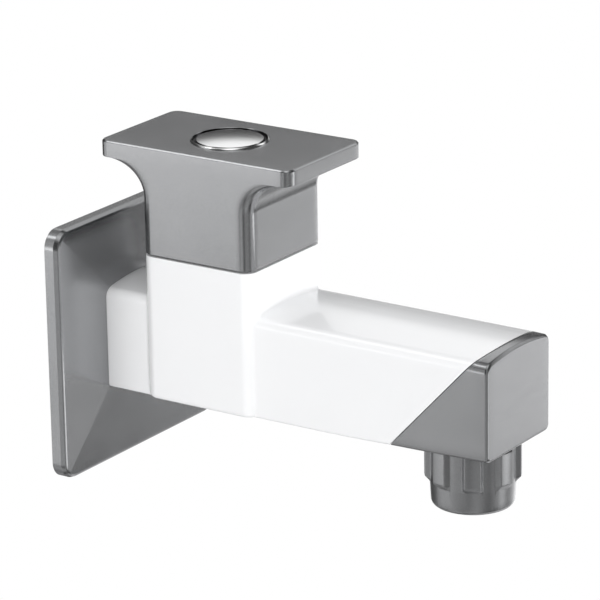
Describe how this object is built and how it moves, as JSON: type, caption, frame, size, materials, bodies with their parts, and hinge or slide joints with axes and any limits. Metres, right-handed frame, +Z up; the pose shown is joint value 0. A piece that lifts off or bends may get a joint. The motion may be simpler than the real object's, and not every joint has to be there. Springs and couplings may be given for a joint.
{
  "type": "bib cock",
  "caption": "Wall-mounted bib cock with a square flange, white square-section body and spout, T-shaped quarter-turn handle and ribbed aerator nozzle.",
  "frame": {"origin": "where the inlet thread's axis meets the wall plane, at the centre of the flange's back", "axes": "+X out of the wall along the spout, +Z up along the valve's axis, Y level along the wall"},
  "size_m": [0.1456, 0.073, 0.097],
  "materials": {
    "white_body": "glossy moulded white plastic",
    "silver_trim": "fine metallic silver-grey lacquer on moulded plastic, satin gloss",
    "chrome": "bright plated",
    "brass": "turned",
    "ceramic": "lapped alumina ceramic",
    "rubber": "black nitrile rubber",
    "inner_plastic": "plain white plastic",
    "steel": "stainless steel"
  },
  "bodies": {
    "fixed_parts": {"wall_flange": "silver_trim", "body": "white_body", "spout_end_cap": "silver_trim", "nozzle_shell": "silver_trim", "nozzle_washer": "rubber", "aerator_ring": "rubber", "jet_plate": "inner_plastic", "aerator_screen_upper": "steel", "aerator_screen_lower": "steel", "aerator_cup": "inner_plastic", "valve_housing": "brass", "housing_o_ring": "rubber", "seat_seal": "rubber", "fixed_disc": "ceramic"},
    "handle_parts": {"handle": "silver_trim", "handle_screw": "steel", "index_cap": "chrome", "spindle": "brass", "spindle_o_ring_lower": "rubber", "spindle_o_ring_upper": "rubber", "thrust_washer": "inner_plastic", "retaining_clip": "steel", "moving_disc": "ceramic"}
  },
  "joints": [
    {"name": "handle_turn", "type": "hinge", "parent": "fixed_parts", "child": "handle_parts", "pos_m": [0.0379, 0, 0.0287], "axis": [0, 0, 1], "range_deg": [0, 90]}
  ]
}
